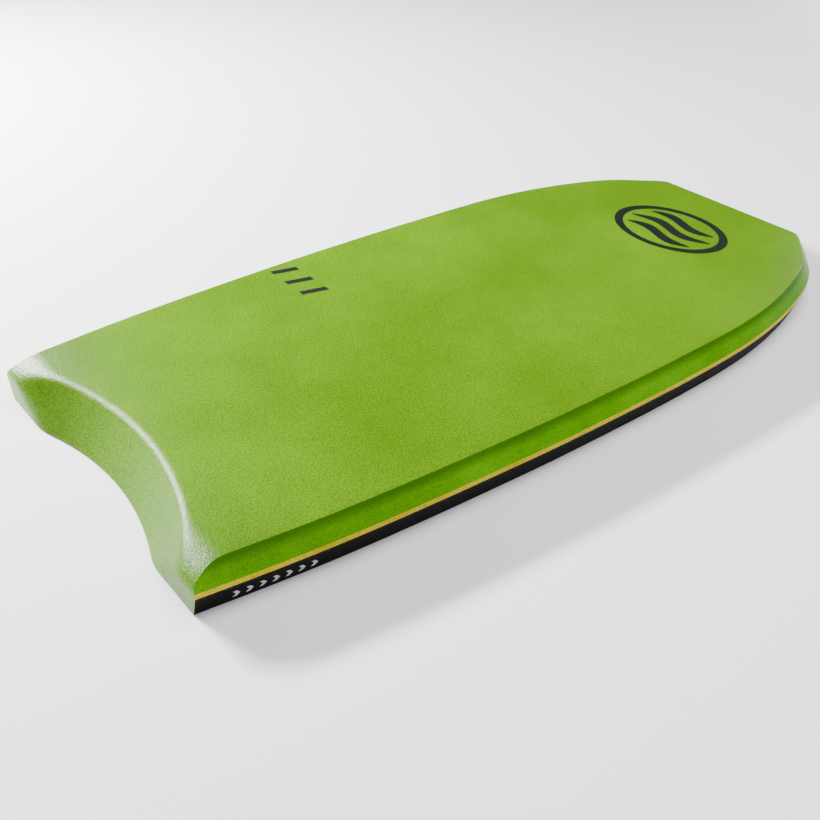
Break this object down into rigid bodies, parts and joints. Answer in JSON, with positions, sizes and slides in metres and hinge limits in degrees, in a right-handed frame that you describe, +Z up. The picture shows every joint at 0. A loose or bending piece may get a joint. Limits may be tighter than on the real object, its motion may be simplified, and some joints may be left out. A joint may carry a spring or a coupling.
{
  "type": "bodyboard",
  "caption": "Laminated foam bodyboard with a straight nose, a shallow crescent tail rolled up to the deck, chined and undercut rails, a stiffening tube in the core and a lifted slick bottom",
  "frame": {"origin": "middle of the board's box in plan, on the plane the flat slick lies on", "axes": "+X from the tail to the nose, +Y to the rider's left, +Z up from the slick to the deck"},
  "size_m": [1.067, 0.532, 0.0525],
  "materials": {
    "deck_foam": "fine textured closed cell foam skin",
    "core_foam": "cut bead foam",
    "stringer_fibre": "smooth pultruded fibre tube",
    "stringer_plug": "moulded",
    "backing_foam": "fine foam",
    "slick_sheet": "smooth hard sheet",
    "chine_foam": "smooth cut foam",
    "pinline_foam": "smooth cut foam",
    "rail_foam": "cut foam with a scuffed upper edge"
  },
  "bodies": {
    "root": {"deck_skin": "deck_foam", "core_left": "core_foam", "core_right": "core_foam", "stringer_tube": "stringer_fibre", "stringer_plug_front": "stringer_plug", "stringer_plug_rear": "stringer_plug", "slick_foam": "backing_foam", "bottom_slick": "slick_sheet", "chine_left": "chine_foam", "chine_right": "chine_foam", "chine_nose": "chine_foam", "inner_rail_left": "pinline_foam", "inner_rail_right": "pinline_foam", "inner_rail_nose": "pinline_foam", "outer_rail_left": "rail_foam", "outer_rail_right": "rail_foam", "outer_rail_nose": "rail_foam"}
  },
  "joints": []
}
